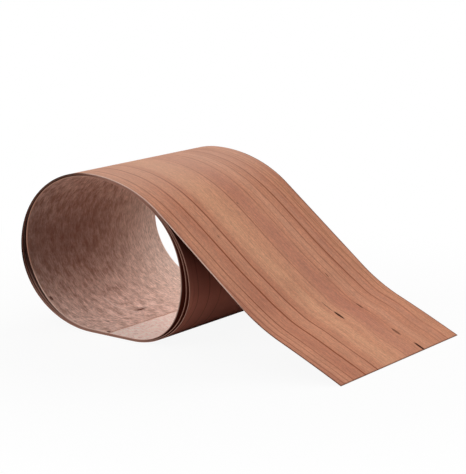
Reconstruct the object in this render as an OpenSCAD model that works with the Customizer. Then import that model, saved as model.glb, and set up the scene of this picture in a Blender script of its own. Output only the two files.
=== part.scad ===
// Wood veneer sheet, loosely coiled, with its outer end running down to the floor.
//
// One thin sheet of wood lies on its coil. The turns are pressed together where the
// coil rests and along its top, and stand apart on its two sides. The outer end leaves
// the top of the coil as a tail, and only the tail's edge touches the floor.
//
// Sizes are in millimetres and angles in degrees. X runs from the coil to the tail's
// edge, Y runs across the sheet along the axis of the coil, and Z is up. The origin is
// on the floor, at the middle of the space the sheet takes up.

/* [Sheet] */
// Width of the sheet, from one cut side to the other
sheet_w = 210; // [80:5:600]
// Thickness of the sheet
sheet_t = 0.6; // [0.4:0.1:1.5]

/* [Coil] */
// Width of the coil, from its left side to its right side
coil_w = 222; // [205:1:320]
// Height of the coil
coil_h = 161; // [135:1:260]
// Distance of the coil's highest point from its left side
crown_x = 94; // [60:1:125]
// Height of the point farthest to the left
left_h = 76; // [50:1:100]
// Height of the point farthest to the right
right_h = 60; // [40:1:90]
// Distance of the resting flat from the left side
flat_x = 94; // [60:1:110]
// Length of the resting flat
flat_len = 55; // [25:1:75]
// Whole turns that lie inside the outermost one
inner_turns = 3; // [1:1:4]
// Length of the inner end that lies on the flat
end_len = 23; // [5:1:25]

/* [Spacing of the turns] */
// Air between two turns where they are pressed together
pressed_gap = 0.3; // [0.2:0.1:1]
// Extra inset of the innermost turn at the left side
left_slack = 8; // [0:0.5:12]
// Extra inset of the innermost turn at the right side
right_slack = 16; // [0:0.5:20]

/* [Tail] */
// Slope of the straight part, below level
tail_slope = 38; // [34:0.5:46]
// Angle by which the tail flattens towards the floor
flatten_angle = 15.5; // [5:0.5:20]
// Radius of that bend
flatten_r = 190; // [80:5:240]
// Angle by which the last stretch droops again
droop_angle = 2.5; // [0.5:0.5:6]
// Radius of the droop
droop_r = 1700; // [300:20:1800]

/* [Colour] */
// Colour of the wood
wood = "#b88069";

/* [Hidden] */
// The only node of this part
// Node to draw, or "all"

// Angle between two points along a bend of the coil
coil_step = 3;
// Number of points in the bend that flattens the tail
flatten_steps = 12;
// Number of points in the droop
droop_steps = 6;

// Distance from one turn to the next where they are pressed together
pitch = sheet_t + pressed_gap;
// Angle wound from the crown to the inner end
wound_end = 360 * inner_turns + 180;
// Tilt of the widest opening between turns, at the left and at the right side
left_lean = 20;
right_lean = -10;

// Extra inset of the innermost turn in the direction a, counted from the right side
function slack(a) =
    left_slack * pow(max(0, -cos(a - left_lean)), 4)
    + right_slack * pow(max(0, cos(a - right_lean)), 4);

// Inset of the sheet's outer face from the coil's outline, w degrees after the crown
function inset(w) = pitch * w / 360 + slack(w + 90) * pow(max(0, w) / wound_end, 2);

// Depth of the outline below the floor, which puts the flat exactly on the floor
sink = inset(180);

// The coil's outline is made of four quarters of ellipses, numbered from the crown to
// the left: upper left, lower left, lower right, upper right. The flat lies between the
// two lower ones. Each quarter is [centre x, centre z, half width, half height].
function quarter(q) =
    let (n = (q + 4) % 4, right_x = flat_x + flat_len)
    n == 0 ? [crown_x, left_h, crown_x, coil_h - left_h] :
    n == 1 ? [flat_x, left_h, flat_x, left_h + sink] :
    n == 2 ? [right_x, right_h, coil_w - right_x, right_h + sink] :
    [crown_x, right_h, coil_w - crown_x, coil_h - right_h];

// Every point of the sheet's middle is [x, z, outward direction in x, in z].
// Point of the coil, w degrees after the crown, in quarter q
function coil_point(w, q) =
    let (
        e = quarter(q),
        a = w + 90,
        n = [e[3] * cos(a), e[2] * sin(a)] / norm([e[3] * cos(a), e[2] * sin(a)]),
        p = [e[0] + e[2] * cos(a), e[1] + e[3] * sin(a)] - n * (inset(w) + sheet_t / 2)
    )
    [p[0], p[1], n[0], n[1]];

// Wound angle, before the crown, at which the tail leaves the coil in its own slope
crown_quarter = quarter(3);
leave_w = atan2(crown_quarter[3] * cos(tail_slope), crown_quarter[2] * sin(tail_slope)) - 90;
leave = coil_point(leave_w, 3);

// Headings of the tail at its three joins, from the coil to the floor
heading_0 = -tail_slope;
heading_1 = heading_0 + flatten_angle;
heading_2 = heading_1 - droop_angle;

// Way along a bend of radius r that turns upwards from heading h0 to heading h
function bend(r, h0, h) = r * [sin(h) - sin(h0), cos(h0) - cos(h)];

// The straight part is as long as it takes to bring the tail's edge to the floor
edge_z = sheet_t / 2 * cos(heading_2);
flatten_way = bend(flatten_r, heading_0, heading_1);
droop_way = bend(-droop_r, heading_1, heading_2);
straight_len = (leave[1] + flatten_way[1] + droop_way[1] - edge_z) / sin(tail_slope);
bend_start = [leave[0], leave[1]] + straight_len * [cos(heading_0), sin(heading_0)];
droop_start = bend_start + flatten_way;

// Point of the tail at p, where its heading is h
function tail_point(p, h) = [p[0], p[1], -sin(h), cos(h)];

// The tail, from its edge on the floor back to the coil
tail_path = [
    for (i = [droop_steps:-1:1])
        let (h = heading_1 - droop_angle * i / droop_steps)
        tail_point(droop_start + bend(-droop_r, heading_1, h), h),
    for (i = [flatten_steps:-1:0])
        let (h = heading_0 + flatten_angle * i / flatten_steps)
        tail_point(bend_start + bend(flatten_r, heading_0, h), h)
];

// The outermost turn from the place where the tail leaves it up to the crown
leave_steps = ceil(-leave_w / coil_step);
crown_path = [for (i = [leave_steps:-1:0]) coil_point(leave_w * i / leave_steps, 3)];

// The turns, from the crown to the start of the inner end on the flat
turn_steps = 90 / coil_step;
turn_path = [
    for (q = [0:4 * inner_turns + 1])
        for (i = [(q % 4 == 2 ? 0 : 1):turn_steps])
            coil_point(90 * q + coil_step * i, q)
];

// The inner end, straight along the flat
inner_start = turn_path[len(turn_path) - 1];
inner_end = inner_start + [end_len, 0, 0, 0];

// The whole sheet from the tail's edge to the inner end
path = concat(tail_path, crown_path, turn_path, [inner_end]);

// Points at the distance d from the sheet's middle, in the plane of its cut side
function offset_path(d) = [for (p = path) [p[0] + d * p[2], p[1] + d * p[3]]];

outer_side = offset_path(sheet_t / 2);
inner_side = offset_path(-sheet_t / 2);
// Middle of the sheet's footprint, which becomes the origin
xs = [for (p = concat(outer_side, inner_side)) p[0]];
middle_x = (min(xs) + max(xs)) / 2;

// Cut side of the sheet, the shape that its coiled turns show at both ends
module cut_side() {
    last = len(inner_side) - 1;
    polygon(concat(outer_side, [for (i = [last:-1:0]) inner_side[i]]));
}

// The sheet, as wide as the coil is long
module veneer_sheet() {
    color(wood)
        translate([-middle_x, 0, 0])
            rotate([90, 0, 0])
                linear_extrude(height = sheet_w, center = true)
                    cut_side();
}

veneer_sheet();
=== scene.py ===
"""Wood veneer sheet, loosely coiled, with its outer end sloping down to the floor.

The sheet is one strip of thin wood. Its outer face shows straight reddish-brown grain
with a few pin knots, and its back is pale and mottled. Its cut sides are dark on the
coil's upper left, which is painted shade, and pale or brown elsewhere, partly their own
pale wood and partly painted light and shade. The face carries painted shade and a painted
sheen, and the back painted light and shade. Lengths are in metres, apart from those of
the section, which are in millimetres.
"""

import math

import bpy
import numpy as np
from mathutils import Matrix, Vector


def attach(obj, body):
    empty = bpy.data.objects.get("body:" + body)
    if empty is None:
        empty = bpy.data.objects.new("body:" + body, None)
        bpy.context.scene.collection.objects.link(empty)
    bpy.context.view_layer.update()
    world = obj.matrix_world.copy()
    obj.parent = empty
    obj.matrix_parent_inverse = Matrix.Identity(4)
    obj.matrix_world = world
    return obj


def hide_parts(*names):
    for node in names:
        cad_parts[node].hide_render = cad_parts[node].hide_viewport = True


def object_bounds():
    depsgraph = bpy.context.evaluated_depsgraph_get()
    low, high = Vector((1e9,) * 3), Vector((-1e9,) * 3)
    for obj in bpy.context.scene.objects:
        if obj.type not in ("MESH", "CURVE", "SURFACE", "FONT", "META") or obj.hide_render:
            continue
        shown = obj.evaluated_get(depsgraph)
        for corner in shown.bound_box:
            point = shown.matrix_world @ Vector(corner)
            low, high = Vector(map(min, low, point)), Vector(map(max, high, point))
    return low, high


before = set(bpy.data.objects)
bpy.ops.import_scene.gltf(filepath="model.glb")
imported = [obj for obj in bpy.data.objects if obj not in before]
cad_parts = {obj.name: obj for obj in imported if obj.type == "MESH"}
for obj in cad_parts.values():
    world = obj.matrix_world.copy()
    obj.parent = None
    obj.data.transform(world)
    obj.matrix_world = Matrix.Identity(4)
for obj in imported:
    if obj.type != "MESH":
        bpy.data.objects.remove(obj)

bl_info = {
    "name": "Coiled veneer sheet",
    "version": (1, 0, 0),
    "blender": (4, 5, 0),
    "location": "3D View > Sidebar > Veneer",
    "description": "Builds a coiled sheet of wood veneer and a plain studio around it",
    "category": "Add Mesh",
}

NODE = "veneer_sheet"
BODY = "root"
# Names of the UV map and of the attribute that the materials read
SHEET_MAP = "sheet"
TURN = "turn"
MM = 0.001
FULL_TURN = 2 * math.pi
WHITE = (1, 1, 1, 1)
CAD_BOX = [list(c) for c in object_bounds()]


def srgb(r, g, b):
    """Linear colour of an sRGB colour that is given in 0 to 255."""
    c = np.array([r, g, b]) / 255
    lin = np.where(c <= 0.04045, c / 12.92, ((c + 0.055) / 1.055) ** 2.4)
    return tuple(float(x) for x in lin)


# Settings


class VeneerSettings(bpy.types.PropertyGroup):
    """Width and thickness of the sheet, which follow the frame, and the wood's colours."""

    width: bpy.props.FloatProperty(
        name="Width", description="Width of the sheet", default=0.210, unit="LENGTH"
    )
    thickness: bpy.props.FloatProperty(
        name="Thickness", description="Thickness of the sheet", default=0.0006, unit="LENGTH",
        precision=5,
    )
    face: bpy.props.FloatVectorProperty(
        name="Face", description="Main colour of the outer face", size=3, subtype="COLOR",
        default=srgb(212, 143, 109), min=0, max=1,
    )
    golden: bpy.props.FloatVectorProperty(
        name="Golden zone", description="Colour along the middle of the outer face", size=3,
        subtype="COLOR", default=srgb(226, 164, 124), min=0, max=1,
    )
    line: bpy.props.FloatVectorProperty(
        name="Grain line", description="Colour of the dark grain lines", size=3,
        subtype="COLOR", default=srgb(132, 62, 36), min=0, max=1,
    )
    back: bpy.props.FloatVectorProperty(
        name="Back", description="Main colour of the back", size=3, subtype="COLOR",
        default=srgb(244, 212, 199), min=0, max=1,
    )
    edge: bpy.props.FloatVectorProperty(
        name="Cut side", description="Colour of the cut sides where they catch the light",
        size=3, subtype="COLOR", default=srgb(255, 222, 206), min=0, max=1,
    )


class StudioSettings(bpy.types.PropertyGroup):
    """The floor, the lamps and the camera."""

    floor: bpy.props.FloatVectorProperty(
        name="Floor", description="Colour of the floor", size=3, subtype="COLOR",
        default=(0.86, 0.86, 0.86), min=0, max=1,
    )
    bounce: bpy.props.FloatVectorProperty(
        name="Bounce", description="Colour of the light that the floor throws back", size=3,
        subtype="COLOR", default=(0.22, 0.22, 0.22), min=0, max=1,
    )
    whiteness: bpy.props.FloatProperty(
        name="Whiteness", description="How far the floor is drawn as plain white",
        default=0.92, min=0, max=1, subtype="FACTOR",
    )
    light: bpy.props.FloatProperty(
        name="Light", description="Level of all the lamps together", default=1.0, min=0,
        subtype="FACTOR",
    )
    sky: bpy.props.FloatProperty(
        name="Sky", description="Strength of the light from all round", default=0.30, min=0,
    )
    lens: bpy.props.FloatProperty(
        name="Lens", description="Focal length on a 36 mm wide sensor", default=124.54,
        min=10, unit="CAMERA",
    )


# Section of the sheet, in millimetres and degrees, as in the frame

# The coil's outline: width, height, place of the crown and heights of the two sides
COIL_W, COIL_H, CROWN_X = 222.0, 161.0, 94.0
LEFT_H, RIGHT_H = 76.0, 60.0
# The resting flat, and the inner end, which sinks a little on to the turn beneath it
FLAT_X, FLAT_LEN = 94.0, 55.0
END_LEN, END_DROP = 23.0, 0.27
# Turns inside the outermost one, and the air between them where they are pressed together
INNER_TURNS = 3
PRESSED_GAP = 0.3
# Extra inset of the innermost turn at the two sides, and the tilt of its widest places
LEFT_SLACK, RIGHT_SLACK = 8.0, 16.0
LEFT_LEAN, RIGHT_LEAN = 20.0, -10.0
# The turns lie closer together on the left side at the coil's far end
FAR_LEFT_SLACK = 0.8
# The tail: slope of its straight part, the bend that flattens it, and its droop
TAIL_SLOPE = 38.0
FLATTEN_ANGLE, FLATTEN_R = 15.5, 190.0
DROOP_ANGLE, DROOP_R = 2.5, 1700.0

# Points along the droop, the flattening bend and the straight part of the tail, along a
# flat and the inner end, and across the sheet, and the angle between points of the coil
DROOP_POINTS, FLATTEN_POINTS, STRAIGHT_POINTS = 24, 31, 40
FLAT_POINTS, END_POINTS, ACROSS_POINTS = 10, 8, 13
COIL_STEP = 1.5
# The faces lie this far inside the solid's, so that the mesh keeps within its box
SKIN_INSET = 0.03
# Corners that turn by more than this are drawn sharp
SHARP_ANGLE = 40.0
# Material slots of the outer face, the back and the cut sides
FACE_SLOT, BACK_SLOT, CUT_SLOT = range(3)


def cosd(a):
    """Cosine of an angle in degrees."""
    return np.cos(np.radians(a))


def sind(a):
    """Sine of an angle in degrees."""
    return np.sin(np.radians(a))


class Section:
    """Middle line of the sheet in the XZ plane, from the tail's edge to the inner end.

    The coil is a closed outline of four quarter ellipses and a flat. The sheet follows
    it inwards: w degrees after the crown it lies inset by pitch * w / 360 plus a slack
    that grows with the square of w and is widest at the two sides. The tail leaves the
    outline along its tangent, runs straight, and reaches the floor by two bends.
    """

    def __init__(self, thickness_mm, left_slack=LEFT_SLACK):
        self.t, self.left_slack = thickness_mm, left_slack
        self.pitch = thickness_mm + PRESSED_GAP
        self.wound_end = 360 * INNER_TURNS + 180
        self.sink = float(self.inset(np.array(180.0)))
        path = self.path()
        self.mid, self.normal, self.turn = path[:, :2], path[:, 2:4], path[:, 4]
        steps = np.linalg.norm(np.diff(self.mid, axis=0), axis=1)
        self.length = np.r_[0, np.cumsum(steps)]

    def slack(self, a):
        """Extra inset of the innermost turn in the direction a.

        It is the fourth power of a cosine on each of the two sides, times that side's
        slack.
        """
        left = self.left_slack * np.maximum(0, -cosd(a - LEFT_LEAN)) ** 4
        return left + RIGHT_SLACK * np.maximum(0, cosd(a - RIGHT_LEAN)) ** 4

    def inset(self, w):
        """Inset at the wound angle w: pitch * w / 360 + slack * (w / the last w) ** 2."""
        grown = (np.maximum(0, w) / self.wound_end) ** 2
        return self.pitch * w / 360 + self.slack(w + 90) * grown

    def quarter(self, q):
        """Centre x, centre z, half width and half height of quarter q after the crown."""
        right_x = FLAT_X + FLAT_LEN
        return (
            (CROWN_X, LEFT_H, CROWN_X, COIL_H - LEFT_H),
            (FLAT_X, LEFT_H, FLAT_X, LEFT_H + self.sink),
            (right_x, RIGHT_H, COIL_W - right_x, RIGHT_H + self.sink),
            (CROWN_X, RIGHT_H, COIL_W - CROWN_X, COIL_H - RIGHT_H),
        )[q % 4]

    def coil(self, w, q):
        """Rows of x, z, outward normal and turns at the wound angles w, all in quarter q.

        A point is that of the quarter's ellipse at w + 90 degrees, moved inwards along
        the ellipse's normal by the inset and half the thickness.
        """
        x, z, a, b = self.quarter(q)
        c, s = cosd(w + 90), sind(w + 90)
        n = np.stack([b * c, a * s], 1)
        n /= np.linalg.norm(n, axis=1, keepdims=True)
        p = np.stack([x + a * c, z + b * s], 1)
        return np.hstack([p - n * (self.inset(w) + self.t / 2)[:, None], n, w[:, None] / 360])

    @staticmethod
    def bend(r, h0, h):
        """Way along a bend of radius r: r * (sin h - sin h0), r * (cos h0 - cos h)."""
        return r * np.stack([sind(h) - sind(h0), cosd(h0) - cosd(h)], -1)

    def tail(self, leave):
        """Rows as in coil, from the tail's edge to leave, its last point on the coil.

        The straight part takes up the height that the two bends leave over, so the
        tail's edge always reaches the floor. A normal is (-sin h, cos h) at heading h.
        """
        h0 = -TAIL_SLOPE
        h1 = h0 + FLATTEN_ANGLE
        h2 = h1 - DROOP_ANGLE
        flatten = self.bend(FLATTEN_R, h0, h1)
        droop = self.bend(-DROOP_R, h1, h2)
        drop = leave[1] + flatten[1] + droop[1] - self.t / 2 * cosd(h2)
        straight = drop / sind(TAIL_SLOPE)
        start = leave[:2] + straight * np.array([cosd(h0), sind(h0)])
        droop_heads = np.linspace(h2, h1, DROOP_POINTS + 1)[:-1]
        flatten_heads = np.linspace(h1, h0, FLATTEN_POINTS)
        heads = np.r_[droop_heads, flatten_heads]
        bends = np.hstack([
            np.vstack([start + flatten + self.bend(-DROOP_R, h1, droop_heads),
                       start + self.bend(FLATTEN_R, h0, flatten_heads)]),
            np.stack([-sind(heads), cosd(heads)], 1),
            np.full((len(heads), 1), leave[4]),
        ])
        f = np.linspace(1, 0, STRAIGHT_POINTS + 2)[1:-1, None]
        run = np.hstack([
            leave[:2] + f * (start - leave[:2]),
            np.repeat([[-sind(h0), cosd(h0), leave[4]]], STRAIGHT_POINTS, 0),
        ])
        return np.vstack([bends, run])

    def path(self):
        """Rows as in coil, of the whole sheet from the tail's edge to the inner end.

        The flats are long straight stretches, so they get evenly spaced points of their
        own. The inner end sinks with the square of the way along it.
        """
        a, b = self.quarter(3)[2:]
        leave_w = math.degrees(math.atan2(b * cosd(TAIL_SLOPE), a * sind(TAIL_SLOPE))) - 90
        leave = self.coil(np.array([leave_w]), 3)[0]
        crown_steps = math.ceil(-leave_w / COIL_STEP)
        parts = [self.tail(leave), self.coil(np.linspace(leave_w, 0, 1 + crown_steps), 3)]
        turned = np.linspace(0, 90, round(90 / COIL_STEP) + 1)
        for q in range(4 * INNER_TURNS + 2):
            after_flat = q % 4 == 2
            part = self.coil(90.0 * q + turned[0 if after_flat else 1:], q)
            if after_flat:
                f = np.linspace(0, 1, FLAT_POINTS + 2)[1:-1, None]
                parts.append(parts[-1][-1] * (1 - f) + part[0] * f)
            parts.append(part)
        f = np.linspace(0, 1, END_POINTS + 1)[1:, None]
        on_flat = np.hstack([f * END_LEN, -END_DROP * f ** 2, 0 * f, 0 * f, 0 * f])
        parts.append(parts[-1][-1] + on_flat)
        return np.vstack(parts)


# Mesh of the sheet


def sheet_points(near, far, width):
    """Points of the two faces on a grid of the way along the sheet and across it.

    A point is mid(s) +- normal(s) * t / 2, less the skin's inset, moved by y across the
    sheet. The two ends of the coil have sections of their own, and y blends them evenly.
    """
    skin = near.t / 2 - SKIN_INSET
    lo, hi = np.array(CAD_BOX)
    shift = (lo[0] + hi[0]) / 2 / MM
    xs = np.concatenate([(near.mid + d * near.normal)[:, 0] for d in (near.t / 2, -near.t / 2)])
    middle = (xs.min() + xs.max()) / 2 - shift
    share = np.linspace(0, 1, ACROSS_POINTS)
    grid = np.zeros((2, len(near.mid), ACROSS_POINTS, 3))
    for side, off in enumerate((skin, -skin)):
        near_line, far_line = (e.mid + off * e.normal for e in (near, far))
        line = near_line[:, None] + share[None, :, None] * (far_line - near_line)[:, None]
        grid[side, :, :, 0] = (line[..., 0] - middle) * MM
        grid[side, :, :, 1] = (share - 0.5) * width
        grid[side, :, :, 2] = line[..., 1] * MM
    return grid


def quads(block):
    """Quads of a block of vertex numbers, one for each cell of it."""
    corners = (block[:-1, :-1], block[1:, :-1], block[1:, 1:], block[:-1, 1:])
    return np.stack(corners, -1).reshape(-1, 4)


def sheet_mesh(name, width, thickness):
    """Mesh of the sheet: strips of quads on the grid of sheet_points.

    The strips are the outer face, the back, the two cut sides and the two ends, and
    they share the vertices of their corners. The UV map holds the way along and across
    in metres, and an attribute the turns wound.
    """
    near = Section(thickness / MM)
    far = Section(thickness / MM, FAR_LEFT_SLACK)
    grid = sheet_points(near, far, width)
    rows, cols = grid.shape[1:3]
    index = np.arange(2 * rows * cols).reshape(2, rows, cols)
    strips = (
        (quads(index[0]), FACE_SLOT),
        (quads(index[1])[:, ::-1], BACK_SLOT),
        (quads(index[:, :, 0])[:, ::-1], CUT_SLOT),
        (quads(index[:, :, -1]), CUT_SLOT),
        (quads(index[:, 0, :]), CUT_SLOT),
        (quads(index[:, -1, :])[:, ::-1], CUT_SLOT),
    )
    faces = np.vstack([f for f, _ in strips])
    slots = np.concatenate([np.full(len(f), m) for f, m in strips])
    uv_of = np.zeros((2, rows, cols, 2))
    uv_of[..., 0] = (near.length * MM)[None, :, None]
    uv_of[..., 1] = grid[..., 1] + width / 2
    mesh = bpy.data.meshes.new(name)
    mesh.vertices.add(2 * rows * cols)
    mesh.vertices.foreach_set("co", grid.ravel())
    mesh.loops.add(faces.size)
    mesh.loops.foreach_set("vertex_index", faces.ravel())
    mesh.polygons.add(len(faces))
    mesh.polygons.foreach_set("loop_start", np.arange(0, faces.size, 4))
    mesh.polygons.foreach_set("material_index", slots)
    mesh.update(calc_edges=True)
    layer = mesh.uv_layers.new(name=SHEET_MAP)
    layer.data.foreach_set("uv", uv_of.reshape(-1, 2)[faces.ravel()].ravel())
    turn = mesh.attributes.new(TURN, "FLOAT", "POINT")
    turn.data.foreach_set("value", np.tile(np.repeat(near.turn, cols), 2).astype(np.float32))
    mesh.polygons.foreach_set("use_smooth", slots < CUT_SLOT)
    mesh.update()
    mesh.set_sharp_from_angle(angle=math.radians(SHARP_ANGLE))
    mesh.validate()
    return mesh


# Shader maths


class Value:
    """A number in a shader, written with the usual signs of arithmetic."""

    def __init__(self, graph, socket):
        self.graph, self.socket = graph, socket

    def math(self, operation, *others):
        return self.graph.math(operation, self, *others)

    def __add__(self, o):
        return self.math("ADD", o)

    def __sub__(self, o):
        return self.math("SUBTRACT", o)

    def __mul__(self, o):
        return self.math("MULTIPLY", o)

    def __truediv__(self, o):
        return self.math("DIVIDE", o)

    def __rsub__(self, o):
        return self.graph.math("SUBTRACT", o, self)

    def __rtruediv__(self, o):
        return self.graph.math("DIVIDE", o, self)

    __radd__, __rmul__ = __add__, __mul__

    def abs(self):
        return self.math("ABSOLUTE")

    def power(self, e):
        return self.math("POWER", e)

    def max(self, o):
        return self.math("MAXIMUM", o)

    def step(self, low, high, out_low=0.0, out_high=1.0):
        """Smooth step from out_low at low to out_high at high."""
        n = self.graph.node("MapRange", interpolation_type="SMOOTHSTEP",
                            inputs={"Value": self, "From Min": low, "From Max": high,
                                    "To Min": out_low, "To Max": out_high})
        return Value(self.graph, n.outputs["Result"])

    def tent(self, place, half):
        """1 at the place, evenly down to 0 at half a width from it on both sides."""
        return (1.0 - ((self - place) / half).abs()).max(0.0)

    def facing(self, place):
        """Of turns wound: cosine of the angle round the coil to the place, in turns."""
        return ((self - place) * FULL_TURN).math("COSINE")


class Graph:
    """A node tree that is filled from code."""

    def __init__(self, tree):
        self.tree = tree
        tree.nodes.clear()

    def feed(self, socket, value):
        """Link a value to the socket, or set a plain number or colour on it."""
        if isinstance(value, Value):
            value = value.socket
        if isinstance(value, bpy.types.NodeSocket):
            self.tree.links.new(value, socket)
        else:
            socket.default_value = value

    def node(self, kind, inputs=None, **settings):
        """Any shader node, with its settings and with inputs by name or number."""
        n = self.tree.nodes.new("ShaderNode" + kind)
        for key, value in settings.items():
            setattr(n, key, value)
        for key, value in (inputs or {}).items():
            self.feed(n.inputs[key], value)
        return n

    def math(self, operation, *values):
        n = self.node("Math", operation=operation)
        for socket, value in zip(n.inputs, values):
            self.feed(socket, value)
        return Value(self, n.outputs[0])

    def vector(self, x, y, z):
        return self.node("CombineXYZ", {"X": x, "Y": y, "Z": z}).outputs[0]

    def parts(self, vector):
        """The three numbers of a vector."""
        n = self.node("SeparateXYZ", {"Vector": vector})
        return [Value(self, part) for part in n.outputs]

    def noise(self, vector, detail=2.0, roughness=0.5):
        """Noise from 0 to 1, whose coarsest grains are about one unit of the vector wide."""
        n = self.node("TexNoise", {"Vector": vector, "Scale": 1.0, "Detail": detail,
                                   "Roughness": roughness})
        return Value(self, n.outputs["Fac"])

    def mix(self, factor, a, b, blend="MIX"):
        """The colour a, with the colour b laid over it as far as the factor says."""
        n = self.node("Mix", data_type="RGBA", blend_type=blend)
        self.feed(n.inputs[0], factor)
        self.feed(n.inputs[6], colour(a))
        self.feed(n.inputs[7], colour(b))
        return n.outputs[2]

    def shade(self, tone, level):
        """The tone times the number level, which darkens it below 1."""
        grey = self.node("CombineColor", {"Red": level, "Green": level, "Blue": level})
        return self.mix(1.0, tone, grey.outputs[0], "MULTIPLY")


def colour(c):
    """A colour as a shader socket takes it."""
    return c if isinstance(c, bpy.types.NodeSocket) else (*tuple(c)[:3], 1.0)


def seen_directly(g):
    """1 for what the camera sees, also in a reflection or through glass, else 0."""
    path = g.node("LightPath")
    camera, glossy, through = (
        Value(g, path.outputs["Is %s Ray" % k]) for k in ("Camera", "Glossy", "Transmission")
    )
    return camera.max(glossy).max(through)


# Materials of the wood. Their places and widths are in metres on the sheet, u along it
# from the tail's edge and v across it from the near cut side, and in turns after the
# crown, which are below 0 on the tail.


class Wood(Graph):
    """Node tree of one of the sheet's materials, with u, v and the turns wound."""

    def __init__(self, name):
        self.material = bpy.data.materials.new(name)
        self.material.use_nodes = True
        super().__init__(self.material.node_tree)
        self.u, self.v, _ = self.parts(self.node("UVMap", uv_map=SHEET_MAP).outputs[0])
        wound = self.node("Attribute", attribute_name=TURN)
        self.turn = Value(self, wound.outputs["Fac"])

    def finish(self, tone, roughness, **relief):
        """The material: wood of this tone without gloss, raised as a Bump node says."""
        looks = {"Base Color": tone, "Roughness": roughness, "Specular IOR Level": 0.0}
        if relief:
            looks["Normal"] = self.node("Bump", relief).outputs[0]
        bsdf = self.node("BsdfPrincipled", looks)
        self.node("OutputMaterial", {"Surface": bsdf.outputs[0]})
        return self.material


# Width of the rim beside a cut side that shows the cut side's tone, with its painted light and
# shade
RIM_REACH = 0.0016
# Colour of the painted shade on the rims
RIM_SHADE = srgb(104, 66, 52)


def rim(g, s):
    """1 beside the two cut sides, 0 farther from them than the rim reaches."""
    return g.v.math("MINIMUM", s.width - g.v).step(RIM_REACH * 0.5, RIM_REACH, 1.0, 0.0)


def by_tails_edge(g):
    """1 on the last stretch of the tail before its edge, 0 from 150 mm on."""
    return g.u.step(0.10, 0.15, 1.0, 0.0)


def cut_tone(g, s):
    """Colour of the cut sides: brown by the tail's edge, pale from there to the crown.

    Past the crown they are light brown, apart from the innermost turn, which is pale
    but on its upper right. The brown by the tail's edge is painted shade, and the pale
    tone is partly the cut wood's own and partly a painted highlight. On the coil's upper
    left, in painted shade, the outermost turn and the third one are nearly black, the
    second one is brown and the innermost one fairly light.
    """
    turn = g.turn
    upper_left_shade = turn.facing(0.16).step(0.35, 0.75)
    outermost = turn.step(-0.01, 0.02) * turn.step(0.5, 0.6, 1.0, 0.0)
    third = turn.step(1.6, 1.7) * turn.step(2.5, 2.6, 1.0, 0.0)
    innermost = turn.step(INNER_TURNS - 0.45, INNER_TURNS - 0.3)
    past_crown = turn.step(-0.01, 0.03)
    # painted shade on the coil's upper left: nearly black, brown and fairly light tones
    dark = g.mix(innermost, srgb(128, 76, 62), srgb(218, 166, 144))
    dark = g.mix(outermost.max(third), dark, srgb(20, 10, 8))
    upper_right = turn.facing(0.90).step(0.55, 0.85)
    inner = past_crown * (1.0 - innermost * (1.0 - upper_right))
    # pale tones, partly the cut wood's own and partly a painted highlight, then brown painted
    # shade by the tail's edge
    light = g.mix(inner, s.edge, srgb(204, 150, 132))
    light = g.mix(by_tails_edge(g), light, srgb(150, 98, 78))
    return g.mix(upper_left_shade * past_crown, light, dark)


def knotted(g, tone, knots, along, wood):
    """The tone with oval knots of this wood in it.

    A knot's strength goes by 1 - (a * a + c * c), where a and c are the distances from
    its middle along and across the sheet, in its half length and its half width.
    """
    for knot_along, place, half_l, half_w, strength in knots:
        a = ((along - knot_along) / half_l).abs()
        c = ((g.v - place) / half_w).abs()
        spot = (1.0 - (a.power(2.0) + c.power(2.0))).max(0.0).step(0.0, 0.7)
        tone = g.mix(spot * strength, tone, wood)
    return tone


# Place across the sheet, half width, strength and colour of the broad bands
BROAD_BANDS = (
    (0.004, 0.008, 0.6, (178, 108, 82)),
    (0.031, 0.011, 0.3, (178, 112, 88)),
    (0.052, 0.009, 0.5, (214, 152, 118)),
    (0.129, 0.019, 0.55, (184, 112, 88)),
    (0.158, 0.012, 0.5, (212, 150, 118)),
    (0.184, 0.008, 0.5, (182, 116, 90)),
    (0.202, 0.009, 0.5, (206, 140, 100)),
)
# Place across the sheet and half width of the golden zone
GOLD_PLACE, GOLD_HALF = 0.088, 0.032
# Place across the sheet, half width and strength of the strong grain lines
STRONG_LINES = (
    (0.0065, 0.0011, 0.50),
    (0.0140, 0.0010, 0.50),
    (0.0215, 0.0011, 0.85),
    (0.0415, 0.0012, 0.95),
    (0.0620, 0.0011, 0.90),
    (0.1150, 0.0010, 0.60),
    (0.1440, 0.0011, 0.60),
    (0.1530, 0.0009, 0.50),
    (0.1640, 0.0010, 0.55),
    (0.1770, 0.0012, 0.90),
    (0.1925, 0.0012, 0.90),
    (0.2030, 0.0010, 0.50),
)
# The lines fade out softly at this many times their half width
LINE_SPREAD = 1.4
# Way along, place across, half length, half width and strength of the knots
KNOTS = (
    (0.0780, 0.1043, 0.0080, 0.0020, 1.00),
    (0.0930, 0.1035, 0.0090, 0.0010, 0.55),
    (0.0055, 0.1452, 0.0085, 0.0021, 0.95),
    (0.0330, 0.1420, 0.0072, 0.0024, 0.60),
    (0.0800, 0.1437, 0.0052, 0.0015, 0.65),
    (0.1280, 0.1460, 0.0040, 0.0011, 0.55),
    (0.2060, 0.0490, 0.0022, 0.0009, 0.50),
    (0.2380, 0.1130, 0.0022, 0.0009, 0.50),
)
KNOT_WOOD = srgb(58, 30, 20)
# How far the lines bow around the knots, and the length of one bow
BOW, BOW_LENGTH = -0.0014, 0.060
# Share of white laid over the outer face, a painted sheen
FACE_SHEEN = 0.055


def face_grain(g):
    """Place across the sheet that the grain belongs to: v, with drift, bows and waves."""
    u, v = g.u, g.v
    wave = g.noise(g.vector(u * 5.0, v * 9.0, 3.1), detail=3.0) - 0.5
    drift = u.step(0.10, 0.175, 0.0, 0.0045) + u.step(0.225, 0.275, 0.0, 0.003)
    bow = ((u - 0.050) * (FULL_TURN / BOW_LENGTH)).math("SINE") * v.step(0.04, 0.12, 0.2, 1.0)
    bow = bow * u.step(0.0, 0.03) * u.step(0.08, 0.125, 1.0, 0.0)
    return v + drift + bow * BOW + wave * u.step(0.3, 0.6, 0.004, 0.036)


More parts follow.
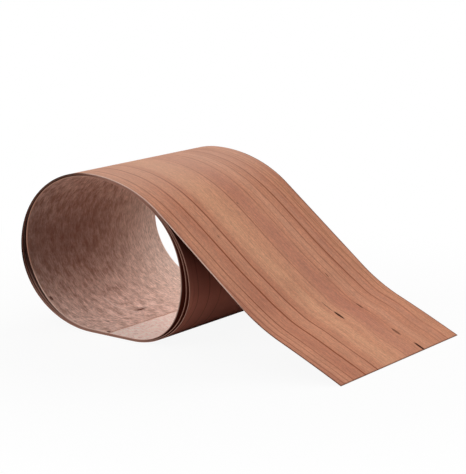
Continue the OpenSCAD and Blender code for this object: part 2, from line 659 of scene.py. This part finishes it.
def face_bands(g, s, w):
    """Tone of the bands of red-brown, golden and paler wood, and of clouds over them."""
    bands = g.noise(g.vector(g.u * 1.5, w * 62.0, 7.7), detail=4.0, roughness=0.62)
    tone = g.mix(bands.step(0.34, 0.64), srgb(196, 122, 88), s.face)
    for place, half, strength, wood in BROAD_BANDS:
        band = w.tent(place, half).step(0.0, 0.8)
        tone = g.mix(band * bands.step(0.3, 0.6, strength * 0.5, strength), tone, srgb(*wood))
    gold = w.tent(GOLD_PLACE, GOLD_HALF).step(0.0, 1.0)
    tone = g.mix(gold * bands.step(0.3, 0.6, 0.35, 0.8), tone, s.golden)
    cloud = g.noise(g.vector(g.u * 11.0, g.v * 22.0, 1.3), detail=4.0, roughness=0.6)
    tone = g.mix(cloud.step(0.35, 0.7, 0.0, 0.5), tone, srgb(214, 146, 110))
    return g.mix(cloud.step(0.45, 0.25, 0.0, 0.3), tone, srgb(182, 106, 76))


def face_lines(g, w):
    """Strength of the dark grain lines, thin ones and strong ones.

    The thin ones run where a noise that is stretched along the grain crosses its middle
    level. Towards the tail's edge the strong ones of the far half are faint.
    """
    u, v = g.u, g.v
    ridge = g.noise(g.vector(u * 1.6, w * 110.0, 2.2), roughness=0.55)
    thin = (1.0 - ((ridge - 0.5).abs() * 20.0)).max(0.0)
    lines = thin * w.step(0.14, 0.18, 0.06, 0.30) * u.step(0.0, 0.2, 0.4, 1.0)
    fade = g.noise(g.vector(u * 6.0, w * 60.0, 9.0)).step(0.3, 0.6, 0.45, 1.0)
    fade = fade * (1.0 - v.step(0.08, 0.12) * u.step(0.03, 0.14, 0.6, 0.0))
    for place, half, strength in STRONG_LINES:
        line = w.tent(place, half * LINE_SPREAD).step(0.0, 1.0)
        lines = lines.max(line * fade * strength)
    return lines


def face_material(s):
    """The outer face: straight grain with thin dark lines, fibres and pin knots."""
    g = Wood("veneer_face")
    u, v, turn = g.u, g.v, g.turn
    w = face_grain(g)
    tone = face_bands(g, s, w)
    # fibres are fine streaks along the grain, pores a speckle
    fibre = g.noise(g.vector(u * 45.0, w * 900.0, 0.0), detail=5.0, roughness=0.75)
    tone = g.shade(tone, fibre.step(0.28, 0.72, 0.76, 1.20))
    pore = g.noise(g.vector(u * 420.0, v * 620.0, 5.5), detail=3.0, roughness=0.7)
    tone = g.shade(tone, pore.step(0.28, 0.72, 0.94, 1.24))
    # painted sheen: a share of white over the whole face
    tone = g.mix(FACE_SHEEN, tone, WHITE)
    # redder and with fainter lines from the coil's underside on
    tone = g.mix(turn.step(0.45, 0.60, 0.0, 0.85), tone, srgb(255, 156, 134))
    tone = g.mix(face_lines(g, w) * turn.step(0.4, 0.6, 1.0, 0.4), tone, s.line)
    tone = knotted(g, tone, KNOTS, u, KNOT_WOOD)
    # painted sheen makes it greyer over the crown; painted shade makes it darker where it faces
    # the tail and where the next turn covers it, and nearly black where the coil rests on the
    # floor
    # painted sheen over the crown
    crown = turn.step(-0.14, -0.02) * turn.step(0.10, 0.30, 1.0, 0.0)
    tone = g.mix(crown * 0.42, tone, srgb(212, 178, 162))
    # painted shade where the outer face faces the tail and where the next turn covers it
    tone = g.mix(turn.step(0.69, 0.84, 0.0, 0.94), tone, srgb(70, 26, 19))
    tone = g.mix(turn.step(0.95, 1.05, 0.0, 0.8), tone, srgb(130, 64, 48))
    # painted contact shadow, nearly black, where the coil rests on the floor
    below = turn.step(0.38, 0.48) * turn.step(0.575, 0.63, 1.0, 0.0)
    tone = g.mix(below, tone, srgb(10, 4, 3))
    # painted shade along the tail's edge and on the rims along the tail's far cut side;
    # elsewhere the rims show the cut sides' tone, with its painted light and shade
    far_side = v.step(0.10, 0.11) * turn.step(-0.05, 0.02, 1.0, 0.0)
    shaded = by_tails_edge(g).max(far_side)
    strength = turn.step(-0.1, 0.6, 0.5, 0.8).max(shaded * 0.7)
    side = g.mix(shaded, cut_tone(g, s), RIM_SHADE)
    tone = g.mix(u.step(0.0006, 0.0014, 0.6, 0.0), tone, RIM_SHADE)
    tone = g.mix(rim(g, s) * strength * (1.0 - below), tone, side)
    return g.finish(tone, 0.6, Strength=0.25, Distance=0.0002, Height=fibre)


# Knots and spots of the back, as above, with the way along counted from the inner end
BACK_KNOTS = (
    (0.0313, 0.0865, 0.0020, 0.0070, 0.95),
    (0.0325, 0.0900, 0.0050, 0.0100, 0.40),
    (0.0860, 0.0045, 0.0034, 0.0024, 0.85),
    (0.0280, 0.0310, 0.0020, 0.0015, 0.60),
    (0.0020, 0.0030, 0.0030, 0.0022, 0.90),
)
BACK_KNOT_WOOD = srgb(96, 58, 46)
# Half width of the light scratch on the back
SCRATCH_HALF = 0.0010


def sheet_length(s):
    """Length of the sheet along its middle."""
    return float(Section(s.thickness / MM).length[-1]) * MM


def back_scratch(g, end):
    """A light scratch that curves from beside the knot towards the near cut side."""
    course = 0.0700 + (0.0520 - end).max(0.0) * 0.32
    ends = end.step(0.022, 0.030) * end.step(0.066, 0.078, 1.0, 0.0)
    return g.v.tent(course, SCRATCH_HALF) * ends


def back_material(s):
    """The back: pale, clouded wood with short fibres, fine dark specks and a knot."""
    g = Wood("veneer_back")
    u, v, turn = g.u, g.v, g.turn
    cloud = g.noise(g.vector(u * 75.0, v * 120.0, 5.0), detail=6.0, roughness=0.7)
    tone = g.mix(cloud.step(0.32, 0.66), srgb(186, 150, 136), s.back)
    # painted light: paler on the flat past the inner end, where nothing covers the turn
    # beneath, and far inside the coil
    lit_flat = turn.step(INNER_TURNS - 0.45, INNER_TURNS - 0.15, 0.85, 0.0)
    tone = g.mix(lit_flat * v.step(0.06, 0.2, 1.0, 0.3), tone, srgb(255, 234, 224))
    tone = g.mix(v.step(0.08, 0.20, 0.0, 0.5), tone, srgb(252, 226, 210))
    streak = g.noise(g.vector(u * 170.0, v * 560.0, 8.0), detail=4.0, roughness=0.7)
    tone = g.shade(tone, streak.step(0.28, 0.72, 0.68, 1.24))
    speck = g.noise(g.vector(u * 260.0, v * 520.0, 4.0), detail=3.0, roughness=0.7)
    tone = g.mix(speck.step(0.54, 0.70, 0.0, 0.4), tone, srgb(116, 82, 72))
    end = sheet_length(s) - u
    tone = g.mix(back_scratch(g, end) * 0.8, tone, srgb(250, 232, 224))
    tone = knotted(g, tone, BACK_KNOTS, end, BACK_KNOT_WOOD)
    # painted shade: darker and redder on the coil's left side, less so towards its far end
    left = turn.facing(0.25).max(0.0).power(3.0) * v.step(0.09, 0.21, 1.0, 0.35)
    tone = g.shade(tone, 1.15 - left * 0.62)
    tone = g.mix(left * 0.3, tone, srgb(150, 98, 82))
    # painted shade, dark where the next turn covers it
    covered_shade = turn.step(0.0, 0.1) * turn.step(INNER_TURNS - 0.6, INNER_TURNS - 0.5, 1.0, 0.0)
    tone = g.mix(covered_shade * 0.7, tone, srgb(120, 58, 44))
    # the rims show the cut sides' tone, with its painted light and shade
    tone = g.mix(rim(g, s) * 0.8, tone, cut_tone(g, s))
    return g.finish(tone, 0.8, Strength=0.3, Distance=0.0003, Height=cloud)


def edge_material(s):
    """The cut sides, in the tone that also shows on the rims beside them."""
    g = Wood("veneer_edge")
    grain = g.noise(g.vector(g.u * 60.0, g.v * 400.0, 6.0))
    # the cut tone holds painted light and shade
    tone = g.mix(grain.step(0.3, 0.7, 0.0, 0.3), cut_tone(g, s), srgb(196, 150, 130))
    return g.finish(tone, 0.75)


# Operators


class VENEER_OT_sheet(bpy.types.Operator):
    """Build the coiled veneer sheet"""

    bl_idname = "veneer.sheet"
    bl_label = "Veneer sheet"

    def execute(self, context):
        s = context.scene.veneer
        mesh = sheet_mesh("veneer_sheet_wood", s.width, s.thickness)
        # in the order of FACE_SLOT, BACK_SLOT and CUT_SLOT
        for make in (face_material, back_material, edge_material):
            mesh.materials.append(make(s))
        piece = bpy.data.objects.new("veneer_sheet_wood", mesh)
        context.scene.collection.objects.link(piece)
        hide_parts(NODE)
        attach(piece, BODY)
        return {"FINISHED"}


# Half side of the floor, and the distances from its middle over which shadows fade out
FLOOR_HALF = 12.0
SHADOW_REACH = (0.18, 0.55)
# The camera, solved from the photographed edges: place, yaw and pitch
CAMERA_AT = (0.96426, -1.28323, 0.44310)
CAMERA_YAW, CAMERA_PITCH = 37.031, 12.318
# Name, place, side and power of the square lamps, and the point that they all face
LAMPS = (
    ("overhead", (-0.2, 2.2, 1.6), 1.6, 41.0),
    ("right", (2.3, 0.2, 1.3), 1.4, 10.0),
    ("side", (-1.3, 1.4, 1.9), 1.4, 8.0),
    ("fill", (-1.0, -2.1, 1.0), 1.0, 20.0),
)
LIT_POINT = Vector((0, 0, 0.08))


def aimed(context, name, data, place, aim):
    """A lamp or camera at the place, upright and looking along aim."""
    item = bpy.data.objects.new(name, data)
    item.location = place
    item.rotation_euler = aim.to_track_quat("-Z", "Y").to_euler()
    context.scene.collection.objects.link(item)
    return item


class VENEER_OT_studio(bpy.types.Operator):
    """Build the floor, the lamps and the camera"""

    bl_idname = "veneer.studio"
    bl_label = "Studio"

    def execute(self, context):
        s = context.scene.studio
        self.floor(context, s)
        self.world(context, s)
        self.lamps(context, s)
        self.camera(context, s)
        context.scene.view_settings.view_transform = "Standard"
        return {"FINISHED"}

    def floor(self, context, s):
        """A floor that is drawn white but throws back little light, and keeps shadows."""
        mesh = bpy.data.meshes.new("floor")
        signs = ((-1, -1), (1, -1), (1, 1), (-1, 1))
        corners = [(x * FLOOR_HALF, y * FLOOR_HALF, 0) for x, y in signs]
        mesh.from_pydata(corners, [], [(0, 1, 2, 3)])
        mat = bpy.data.materials.new("floor")
        mat.use_nodes = True
        g = Graph(mat.node_tree)
        seen = seen_directly(g)
        bsdf = g.node("BsdfPrincipled", {"Base Color": g.mix(seen, s.bounce, s.floor),
                                         "Roughness": 0.9, "Specular IOR Level": 0.1})
        white = g.node("Emission", {"Color": WHITE, "Strength": 1.0})
        x, y, _ = g.parts(g.node("TexCoord").outputs["Object"])
        away = (x * x + y * y).power(0.5).step(*SHADOW_REACH, s.whiteness, 1.0)
        mix = g.node("MixShader", {0: seen * away, 1: bsdf.outputs[0], 2: white.outputs[0]})
        g.node("OutputMaterial", {"Surface": mix.outputs[0]})
        mesh.materials.append(mat)
        floor = bpy.data.objects.new("floor", mesh)
        context.scene.collection.objects.link(floor)

    def world(self, context, s):
        """Light from all round, which is white where it is seen directly."""
        world = bpy.data.worlds.new("studio")
        context.scene.world = world
        world.use_nodes = True
        g = Graph(world.node_tree)
        plain = g.node("Background", {"Color": WHITE, "Strength": s.sky})
        white = g.node("Background", {"Color": WHITE, "Strength": 1.0})
        mix = g.node("MixShader", {0: seen_directly(g), 1: plain.outputs[0],
                                   2: white.outputs[0]})
        g.node("OutputWorld", {"Surface": mix.outputs[0]})

    def lamps(self, context, s):
        """The square lamps."""
        for name, place, size, power in LAMPS:
            light = bpy.data.lights.new(name, "AREA")
            light.shape = "SQUARE"
            light.size = size
            light.energy = power * s.light
            aimed(context, name, light, place, LIT_POINT - Vector(place))

    def camera(self, context, s):
        """The camera, turned by its yaw and tilted down by its pitch."""
        data = bpy.data.cameras.new("camera")
        data.lens = s.lens
        data.sensor_width = 36.0
        data.clip_end = 100.0
        yaw, pitch = math.radians(CAMERA_YAW), math.radians(CAMERA_PITCH)
        aim = Vector((-math.sin(yaw) * math.cos(pitch), math.cos(yaw) * math.cos(pitch),
                      -math.sin(pitch)))
        context.scene.camera = aimed(context, "camera", data, CAMERA_AT, aim)


class VENEER_PT_panel(bpy.types.Panel):
    """Sizes, colours and buttons of the veneer sheet"""

    bl_label = "Veneer"
    bl_idname = "VENEER_PT_panel"
    bl_space_type = "VIEW_3D"
    bl_region_type = "UI"
    bl_category = "Veneer"

    def draw(self, context):
        for group, operator in ((context.scene.veneer, "veneer.sheet"),
                                (context.scene.studio, "veneer.studio")):
            for name in group.__annotations__:
                self.layout.prop(group, name)
            self.layout.operator(operator)


CLASSES = (VeneerSettings, StudioSettings, VENEER_OT_sheet, VENEER_OT_studio, VENEER_PT_panel)


def register():
    """Make the classes known to Blender and give the scene its settings."""
    for c in CLASSES:
        bpy.utils.register_class(c)
    bpy.types.Scene.veneer = bpy.props.PointerProperty(type=VeneerSettings)
    bpy.types.Scene.studio = bpy.props.PointerProperty(type=StudioSettings)


def unregister():
    """Take the settings and the classes away again."""
    del bpy.types.Scene.veneer
    del bpy.types.Scene.studio
    for c in reversed(CLASSES):
        bpy.utils.unregister_class(c)


def main():
    """Build the sheet and its studio."""
    register()
    bpy.ops.veneer.sheet()
    bpy.ops.veneer.studio()


if __name__ == "__main__":
    main()
